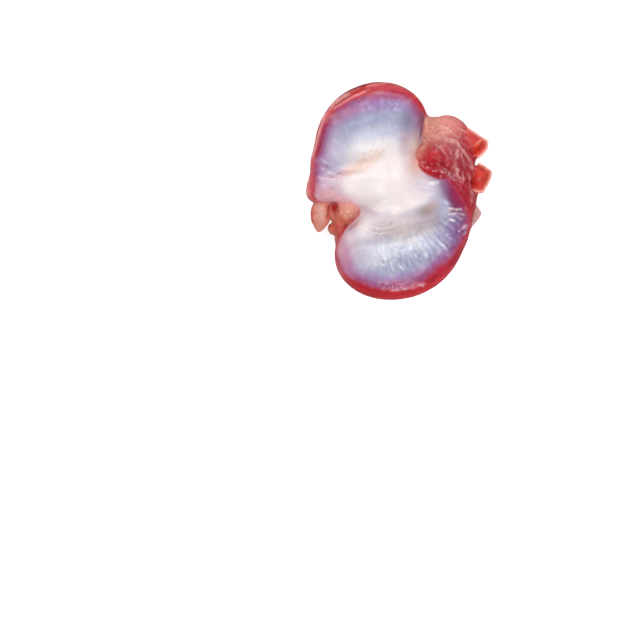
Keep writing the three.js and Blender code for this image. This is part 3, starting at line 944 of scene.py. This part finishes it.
# %% Patches of the bare rim
RIM_PATCHES = patches("""
left rim: -25.5 8 3 15 -8 #cf6a74 0.75
top left rim: -18 26.5 7 3 38 #d87684 0.8
peach in the crease: 5.8 12 2.8 6 0 #cf9a86 1
peach under the left arm: -18.6 -3.6 6 1.8 -4 #d8958c 1
top rim: -4 29.5 9 2.6 0 #c04a54 0.7
upper right rim: 4 27 3 3 -45 #b21c2a 0.6
left rim of the lower lobe: -17.6 -20 1.6 6 10 #cc7480 0.7
deep lower right: 17 -19 3 7 32 #92061a 0.9
crimson at the right: 18.4 -6 3 8.5 8 #94102e 0.9
crimson beside the purple: 13.5 -21.5 7 1.8 42 #a01436 0.8
deep bottom: 3 -30.5 12 2 4 #b4141c 0.7
""")
UPPER_LEFT = oval("upper left outline", -11.0, 29.0, 9.5, 4.5, 22)
print(len(RIM_PATCHES), "patches of the rim")

# %% Paint the tendon sheet
def coat(colour):
    """One colour for every point."""
    return np.tile(linear(colour), (len(points), 1))


def painted(base, marks, where):
    for mark in marks:
        base = mixed(base, mark["colour"], mark["share"] * bump(mark, px, py) * where)
    return base


across, along = in_oval(WHITE_TENDON, px, py)
across, along = across / WHITE_TENDON["rx"], along / WHITE_TENDON["ry"]
from_middle = np.hypot(across, along) + 0.06 * soft_noise(angle * 3.0, radius / 6.0, 21)
sharp = soft_step(-along / (from_middle + 1e-6), 0.1, 0.6) * soft_step(across, -0.7, -0.2)
edge_width = 0.36 - 0.24 * sharp
on_tendon = 1 - soft_step(from_middle, 1 - edge_width, 1 + 0.6 * edge_width)
fringed = sheet + fringe
depths, shades = zip(*SHEET_RAMP)
shades = np.array([linear(shade) for shade in shades])
ramp = np.stack([np.interp(fringed, depths, channel) for channel in shades.T], axis=1)
clouds = patchwork(0.3, 3.1, 2.7, 71) + 0.6 * patchwork(-1, 1.9, 1.7, 72)
ramp = mixed(ramp, CLOUD_BLUE, 0.22 * np.clip(clouds, 0, 1))
ramp = mixed(ramp, CLOUD_WHITE, 0.2 * np.clip(-clouds, 0, 1))
ramp = painted(ramp, SHEET_PATCHES, soft_step(fringed, 1.0, 4.6))
ramp = mixed(ramp, TENDON, 0.93 * on_tendon * soft_step(fringed, 0.3, 2.4))
ramp = painted(ramp, EDGE_PATCHES, soft_step(fringed, -0.6, 0.4))
ramp = painted(ramp, TENDON_PATCHES, soft_step(fringed, 0.2, 1.8))
streak *= (1 - 0.7 * on_tendon * on_sheet) * (1 - 0.5 * under)
print("white tendon covers", round(float(on_tendon.mean()), 2), "of the points")

# %% [markdown]
# The bare muscle comes first, with silver skin over its sides, and the flap, the fat and the sheet are laid
# over it. Then every line is drawn, and what it raises or lowers is added up on the way.

# %% Lay the colours over each other
tint = painted(coat(MUSCLE), RIM_PATCHES, off_table)
layers = soft_noise((plan_depth(LOBES, px, py) - 0.6 * pz) / 0.55, angle * FAN_RADIUS / 5.0, 41)
blotches = soft_noise(angle * FAN_RADIUS / 2.2, (radius - pz) / 2.6, 42)
silver = soft_step(blotches + 0.5 * layers, 0.1, 0.9) * (1 - 0.9 * faces_up) * (1 - under)
tint = mixed(tint, SILVER_SKIN, 0.45 * silver)
tint *= (1 + (0.12 * layers + 0.1 * blotches) * (1 - under))[:, None]
tint += (painted(coat(FLAP_MUSCLE), FLAP_PATCHES, faces_up) - tint) * on_flap[:, None]
tint += (painted(coat(FAT), FAT_PATCHES, 1.0) - tint) * on_fat[:, None]
tint += (ramp - tint) * on_sheet[:, None]
print("mean tint", tint.mean(axis=0).round(3))

# %% Draw the lines
places = {
    "sheet": on_sheet,
    "flap": on_flap * off_cup * upward,
    "rim": faces_up * on_lobes * upward,
    "any": faces_up * upward * off_cup,
    "fat": on_fat,
    "notch": off_table,
    "tube": upward * faces_up,
}
lift = facets * np.clip(shows, 0, 1) * on_sheet
lift += 0.08 * layers * faces_up * (1 - on_sheet) * on_lobes
# Each line's colour is laid on in broken patches: pale strokes and beads lay painted highlights, and dark
# creases and dips lay painted shade.
for one in FOLDS + STRANDS + WET_LINES_AND_PAINTED_GLINTS + SPECKS:
    patchy = 0.6 + 0.4 * broken if one["where"] == "rim" else broken
    here = line_share(one, px, py) * places[one["where"]] * patchy
    tint = mixed(tint, one["colour"], one["share"] * here)
    lift += one["rise"] * here
from_arc = np.hypot(px - WRINKLES["middle"][0], py - WRINKLES["middle"][1])
from_arc += 0.25 * patchwork(0, 1.5, 1.5, 15)
wrinkle = np.sin(2 * np.pi * from_arc / WRINKLES["apart"]) * bump(WRINKLES, px, py) * on_sheet
# Painted light and shade: the wrinkles' crests are painted lighter and their troughs darker, as well as
# raised and lowered.
tint *= (1 + 0.09 * wrinkle)[:, None]
lift += 0.12 * wrinkle
print("lines lift the skin by", round(float(lift.min()), 2), "to", round(float(lift.max()), 2), "mm")

# %% Paint the tab, the shade on the sides and the underside
tint = mixed(tint, TAB_SKIN, on_tab)
# Painted shade: the steep outer side of the upper left rim is darkened to maroon, as the shaded wall of a
# fold.
outline = (1 - soft_step(outward[:, 2], 0.2, 0.55)) * soft_step(pz, 4.5, 6.5) * on_lobes
tint = mixed(tint, OUTLINE_SHADE, 0.85 * outline * bump(UPPER_LEFT, px, py))
# Painted shade: each point is darkened the more its surface faces sideways or down, away from the light
# above.
tint *= (0.72 + 0.28 * soft_step(outward[:, 2], -0.05, 0.4))[:, None]
veins = patchwork(0.5, 3.7, 2.9, 31) + 0.5 * patchwork(-1, 1.9, 2.3, 32) + 0.3 * patchwork(0.2, 0.8, 0.7, 33)
tint = mixed(tint, SOLE_MEMBRANE, 0.6 * under * soft_step(veins, -0.6, 0.9))
print("the underside is", round(float(under.mean()), 2), "of the points")

# %% Paint the tube ends
for end, (free, closed, inner, _) in zip(TUBE_ENDS, cups):
    colours, deep = end["colours"], end["deep"]
    above = py - deep["y"]
    inside = soft_step(closed, -0.1, 0.15) * soft_step(pz - inner, -0.6, -0.2)
    inside *= soft_step(px + 0.35 * np.maximum(above, 0), 20.2, 22.8)
    beside = soft_step(closed, -0.9, 0.0) * soft_step(px, 21.5, 23.0)
    ribs = soft_noise(np.arctan2(above, px - deep["x"]) * 4.0 + 20, free / 3.0 + 20, 51)
    tint = mixed(tint, TUBE_SIDE, 0.9 * beside)
    tint = mixed(tint, colours["inside"], 0.95 * inside)
    tint = mixed(tint, colours["bottom"], 0.95 * inside * np.clip(1.2 * bump(deep, px, py), 0, 1))
    if end["fold"]:
        over = side_depths(end["fold"], px, py)[0]
        crest = np.exp(-((over - 0.15) / 0.28) ** 2) * soft_step(px, 21.3, 22.6)
        crest *= 1 - soft_step(px, 23.4, 24.0)
        tint = mixed(tint, TUBE_ROOF, 0.85 * inside * soft_step(over, 0.1, 0.7))
        tint = mixed(tint, TUBE_FOLD, 0.75 * inside * crest)
    tint = mixed(tint, colours["rim"], 0.95 * inside * np.exp(-(free / 0.7) ** 2))
    tint *= (1 + 0.16 * ribs * inside)[:, None]
print("mean tint", tint.mean(axis=0).round(3))

# %% [markdown]
# ## A mesh that carries what is known
# The mesh keeps each point's numbers as attributes, so the relief and the material can read them.

# %% Make the mesh
def placed(name, data):
    """A new object in the scene."""
    made = bpy.data.objects.new(name, data)
    bpy.context.scene.collection.objects.link(made)
    return made


mesh = bpy.data.meshes.new("gizzard_skin")
mesh.from_pydata((points * MM).tolist(), [], faces.tolist())
mesh.polygons.foreach_set("use_smooth", [True] * len(mesh.polygons))
carried = {
    "fat": ("FLOAT", "value", on_fat),
    "flap": ("FLOAT", "value", on_flap * off_cup),
    "streak": ("FLOAT", "value", streak),
    "lift": ("FLOAT", "value", lift),
    "free": ("FLOAT", "value", soft_step(pz, 0.02, 0.8)),
    "grain": ("FLOAT_VECTOR", "vector", grain),
    "tint": ("FLOAT_COLOR", "color", np.concatenate([tint, np.ones((len(points), 1))], axis=1)),
}
for name, (kind, key, values) in carried.items():
    attribute = mesh.attributes.new(name, kind, "POINT")
    attribute.data.foreach_set(key, values.astype(np.float32).ravel())
mesh.update()
gizzard = placed("gizzard_meat", mesh)
print(gizzard.name, len(mesh.vertices), "points,", len(mesh.polygons), "faces")

# %% [markdown]
# ## Nodes
# One small function adds a node to any tree with its settings, and sets or links its inputs, which are
# given by name or in their order. It gives back the node's outputs.

# %% Add a node
def node(tree, kind, inputs=(), **settings):
    made = tree.nodes.new(kind)
    for key, value in settings.items():
        setattr(made, key, value)
    named = inputs if isinstance(inputs, dict) else dict(enumerate(inputs))
    for key, value in named.items():
        socket = made.inputs[key]
        if isinstance(value, bpy.types.NodeSocket):
            tree.links.new(value, socket)
        else:
            socket.default_value = value
    return made.outputs


print("nodes are added by", node.__name__)

# %% [markdown]
# ## Wet raw meat
# Raw muscle is a deep red jelly of fibres: light goes in a millimetre or two and comes out redder, and a
# film of water lies over it. So the shader has some scattering under the surface, a roughness that the
# fibres break up, and a thin clear coat for the water. Tendon is the same but white and tighter, and fat is
# dull peach. The coat follows ripples of its own, about half a millimetre wide, because the eye reads
# wetness from many tiny glints.

# %% Colour of the meat
MOTTLE = 3.846 * MM
GRIT = 0.9 * MM


def along_fibres(tree, squeeze, scale, detail, roughness=0.5):
    """A noise drawn out along the fibres."""
    grain_at = node(tree, "ShaderNodeAttribute", attribute_name="grain")["Vector"]
    drawn = node(tree, "ShaderNodeMapping", {"Vector": grain_at, "Scale": (squeeze, 1.0, 1.0)})[0]
    inputs = {"Vector": drawn, "Scale": scale, "Detail": detail, "Roughness": roughness}
    return node(tree, "ShaderNodeTexNoise", inputs)[0]


def meat_colour(tree):
    """The painted colour, lighter and darker by the fibres' streaks, a soft mottle and the flap's grit."""
    colour = node(tree, "ShaderNodeAttribute", attribute_name="tint")["Color"]
    streak_at = node(tree, "ShaderNodeAttribute", attribute_name="streak")["Fac"]
    flap_at = node(tree, "ShaderNodeAttribute", attribute_name="flap")["Fac"]
    place = node(tree, "ShaderNodeTexCoord")["Object"]
    streaks = along_fibres(tree, 0.16, 1.3, 4.0, 0.6)
    inputs = {"Vector": place, "Scale": 1.0 / MOTTLE, "Detail": 3.0, "Roughness": 0.55}
    mottle = node(tree, "ShaderNodeTexNoise", inputs)[0]
    grit = node(tree, "ShaderNodeTexNoise", {"Vector": place, "Scale": 1.0 / GRIT, "Detail": 2.0})[0]
    for noise, low, high, swing, where in (
        (streaks, 0.0, 1.0, 0.75, streak_at),
        (mottle, 0.3, 0.7, 0.06, 1.0),
        (grit, 0.3, 0.7, 0.1, flap_at),
    ):
        part = node(tree, "ShaderNodeMapRange", [noise, low, high, -swing, swing])[0]
        part = node(tree, "ShaderNodeMath", [part, where, 1.0], operation="MULTIPLY_ADD")[0]
        colour = node(tree, "ShaderNodeVectorMath", {0: colour, "Scale": part}, operation="SCALE")[0]
    return colour, streaks, flap_at


print("mottle of", round(MOTTLE / MM, 1), "mm and grit of", round(GRIT / MM, 1), "mm")

# %% Pale strands of membrane
STRAND_WIDTH = 0.04
STRAND_SHARE = 0.1
STRAND_PINK = "#e2a8a2"


def strands_over(tree, colour, flap_at):
    """Thin pale lines where a noise passes its middle value, which gives a net of strands."""
    web = along_fibres(tree, 0.22, 0.42, 1.5)
    off = node(tree, "ShaderNodeMath", [web, 0.5], operation="SUBTRACT")[0]
    off = node(tree, "ShaderNodeMath", [off], operation="ABSOLUTE")[0]
    thin = node(tree, "ShaderNodeMapRange", [off, 0.0, STRAND_WIDTH, STRAND_SHARE, 0.0])[0]
    thin = node(tree, "ShaderNodeMath", [thin, flap_at], operation="MULTIPLY")[0]
    pink = (*linear(STRAND_PINK), 1)
    return node(tree, "ShaderNodeMix", {0: thin, 6: colour, 7: pink}, data_type="RGBA")[2]


print("strands", STRAND_PINK)

# %% Material of the meat
def meat_material():
    made = bpy.data.materials.new("wet raw muscle under tendon sheet")
    made.use_nodes = True
    tree = made.node_tree
    tree.nodes.clear()
    colour, streaks, flap_at = meat_colour(tree)
    rough = node(tree, "ShaderNodeMapRange", [streaks, 0.3, 0.7, 0.3, 0.46])[0]
    relief = node(tree, "ShaderNodeBump", {"Height": streaks, "Strength": 0.35, "Distance": 0.25 * MM})[0]
    ripples = along_fibres(tree, 0.45, 1.6, 2.0)
    wet = node(tree, "ShaderNodeBump", {"Height": ripples, "Strength": 0.6, "Distance": 0.4 * MM})[0]
    shader = node(tree, "ShaderNodeBsdfPrincipled", {
        "Base Color": strands_over(tree, colour, flap_at),
        "Roughness": rough,
        "Normal": relief,
        "IOR": 1.36,
        "Specular IOR Level": 0.2,
        "Subsurface Weight": 0.12,
        "Subsurface Radius": (1.0, 0.35, 0.25),
        "Subsurface Scale": 0.8 * MM,
        "Coat Weight": 0.3,
        "Coat Roughness": 0.08,
        "Coat Normal": wet,
    })
    node(tree, "ShaderNodeOutputMaterial", {"Surface": shader["BSDF"]})
    return made


wet_meat = meat_material()
mesh.materials.append(wet_meat)
print("material", wet_meat.name)

# %% [markdown]
# ## Fine relief by Geometry Nodes
# The relief follows the surface: fibres lift it in fine ridges, fat is beaded, the bare flap is knobbly,
# and the folds and strands stand out as drawn. A tree moves every point along its normal by the sum of
# these. Where the meat is pressed on the table nothing moves.

# %% Inputs of the relief
RELIEF_NUMBERS = {
    "Fibre height": 0.28 * MM,
    "Bead height": 0.5 * MM,
    "Bead size": 1.1 * MM,
    "Knob height": 0.35 * MM,
    "Knob size": 1.3 * MM,
    "Line height": 1.0 * MM,
    "Seed": 3.0,
}
relief = bpy.data.node_groups.new("gizzard relief", "GeometryNodeTree")
sockets = relief.interface
for way in ("INPUT", "OUTPUT"):
    sockets.new_socket("Geometry", in_out=way, socket_type="NodeSocketGeometry")
relief_inputs = {}
for name, number in RELIEF_NUMBERS.items():
    socket = sockets.new_socket(name, in_out="INPUT", socket_type="NodeSocketFloat")
    socket.default_value = number
    relief_inputs[name] = socket.identifier
socket = sockets.new_socket("Material", in_out="INPUT", socket_type="NodeSocketMaterial")
relief_inputs["Material"] = socket.identifier
print("relief inputs", list(relief_inputs))

# %% Fibres, beads and knobs
given = node(relief, "NodeGroupInput")
seed = given["Seed"]
spot = node(relief, "GeometryNodeInputPosition")[0]
read = {}
for name in ("grain", "streak", "fat", "flap", "lift", "free"):
    read[name] = node(relief, "GeometryNodeInputNamedAttribute", [name], data_type=carried[name][0])[0]
drawn = node(relief, "ShaderNodeVectorMath", [read["grain"], (0.22, 0.9, 0.9)], operation="MULTIPLY")[0]
inputs = {"Vector": drawn, "W": seed, "Scale": 1.0, "Detail": 2.0}
fibres = node(relief, "ShaderNodeTexNoise", inputs, noise_dimensions="4D")[0]
per_bead = node(relief, "ShaderNodeMath", [1.0, given["Bead size"]], operation="DIVIDE")[0]
inputs = {"Vector": spot, "W": seed, "Scale": per_bead}
beads = node(relief, "ShaderNodeTexVoronoi", inputs, voronoi_dimensions="4D", feature="SMOOTH_F1")["Distance"]
beads = node(relief, "ShaderNodeMath", [1.0, beads], operation="SUBTRACT")[0]
per_knob = node(relief, "ShaderNodeMath", [1.0, given["Knob size"]], operation="DIVIDE")[0]
inputs = {"Vector": spot, "W": seed, "Scale": per_knob, "Detail": 2.0}
knobs = node(relief, "ShaderNodeTexNoise", inputs, noise_dimensions="4D")[0]
print("the relief reads", list(read))

# %% Add up the heights
lift_by = node(relief, "ShaderNodeMath", [read["lift"], given["Line height"]], operation="MULTIPLY")[0]
for wave, height, where in (
    (fibres, "Fibre height", "streak"),
    (beads, "Bead height", "fat"),
    (knobs, "Knob height", "flap"),
):
    tall = node(relief, "ShaderNodeMath", [wave, 0.5], operation="SUBTRACT")[0]
    tall = node(relief, "ShaderNodeMath", [tall, given[height]], operation="MULTIPLY")[0]
    lift_by = node(relief, "ShaderNodeMath", [tall, read[where], lift_by], operation="MULTIPLY_ADD")[0]
lift_by = node(relief, "ShaderNodeMath", [lift_by, read["free"]], operation="MULTIPLY")[0]
print(len(relief.nodes), "nodes so far")

# %% Move the points and set the material
normal = node(relief, "GeometryNodeInputNormal")[0]
offset = node(relief, "ShaderNodeVectorMath", {0: normal, "Scale": lift_by}, operation="SCALE")[0]
moved = node(relief, "GeometryNodeSetPosition", {"Geometry": given["Geometry"], "Offset": offset})[0]
whole = node(relief, "GeometryNodeRealizeInstances", {"Geometry": moved})[0]
dressed = node(relief, "GeometryNodeSetMaterial", {"Geometry": whole, "Material": given["Material"]})[0]
node(relief, "NodeGroupOutput", {"Geometry": dressed})
print(len(relief.nodes), "nodes in the relief tree")

# %% Apply the relief
grow = gizzard.modifiers.new("relief", "NODES")
grow.node_group = relief
grow[relief_inputs["Fibre height"]] = 0.35 * MM
grow[relief_inputs["Material"]] = wet_meat
evaluated = gizzard.evaluated_get(bpy.context.evaluated_depsgraph_get())
finished = bpy.data.meshes.new_from_object(evaluated)
gizzard.modifiers.remove(grow)
gizzard.data = finished
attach(gizzard, "root")
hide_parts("gizzard")
print("finished mesh", len(finished.vertices), "points", [m.name for m in finished.materials])

# %% [markdown]
# ## Floor, light and camera
# The photograph is a cut-out on white under soft light from all round. A white sheet and a bright even
# world give that. Two large soft lights shade the meat, and four small ones make the wet glints.

# %% Floor
FLOOR = 0.6
floor_mesh = bpy.data.meshes.new("white sheet")
corners = [(-FLOOR, -FLOOR, 0), (FLOOR, -FLOOR, 0), (FLOOR, FLOOR, 0), (-FLOOR, FLOOR, 0)]
floor_mesh.from_pydata(corners, [], [(0, 1, 2, 3)])
floor = placed("floor", floor_mesh)
paper = bpy.data.materials.new("matt white paper")
paper.use_nodes = True
paper_looks = {
    "Base Color": (*linear("#e8e8e8"), 1),
    "Roughness": 0.9,
    "Emission Color": (1, 1, 1, 1),
    "Emission Strength": 0.7,
}
for name, value in paper_looks.items():
    paper.node_tree.nodes["Principled BSDF"].inputs[name].default_value = value
floor_mesh.materials.append(paper)
floor.visible_glossy = False
print("floor", 2 * FLOOR, "m wide")

# %% Light
LAMPS = (
    ("key", (-0.30, 0.42, 0.60), 0.40, 3.3),
    ("fill", (0.38, -0.40, 0.58), 0.30, 2.0),
    ("top glint", (0.05, -0.10, 0.90), 0.03, 0.4),
    ("right glint", (0.55, -0.10, 0.55), 0.03, 0.7),
    ("near glint", (0.05, -0.60, 0.50), 0.03, 0.7),
    ("far glint", (0.10, 0.50, 0.70), 0.03, 0.6),
)
world = bpy.data.worlds.new("studio")
world.use_nodes = True
world.node_tree.nodes["Background"].inputs["Color"].default_value = (1, 1, 1, 1)
world.node_tree.nodes["Background"].inputs["Strength"].default_value = 0.26
bpy.context.scene.world = world
for name, at, size, power in LAMPS:
    data = bpy.data.lights.new(name, "AREA")
    data.shape, data.size, data.energy = "DISK", size, power
    lamp = placed(name, data)
    lamp.location = at
    lamp.rotation_euler = (-lamp.location).to_track_quat("-Z", "Y").to_euler()
print("two soft lights and four small ones")

# %% [markdown]
# The photograph looks straight down. One of its pixels is 0.29 mm, and the meat's origin lies at a known
# pixel.

# %% Camera
PIXEL = 0.29
PHOTO_WIDTH = 640
ORIGIN_PIXEL = (399.0, 190.5)
SENSOR, HEIGHT, RIM = 36.0, 700.0, 6.0
camera_data = bpy.data.cameras.new("camera")
camera_data.sensor_width = SENSOR
camera_data.lens = SENSOR * HEIGHT / (PHOTO_WIDTH * PIXEL)
camera = placed("camera", camera_data)
east, north = PHOTO_WIDTH / 2 - ORIGIN_PIXEL[0], ORIGIN_PIXEL[1] - PHOTO_WIDTH / 2
camera.location = (east * PIXEL * MM, north * PIXEL * MM, (HEIGHT + RIM) * MM)
bpy.context.scene.camera = camera
bpy.context.scene.view_settings.view_transform = "Standard"
print("lens", round(camera_data.lens, 1), "mm")
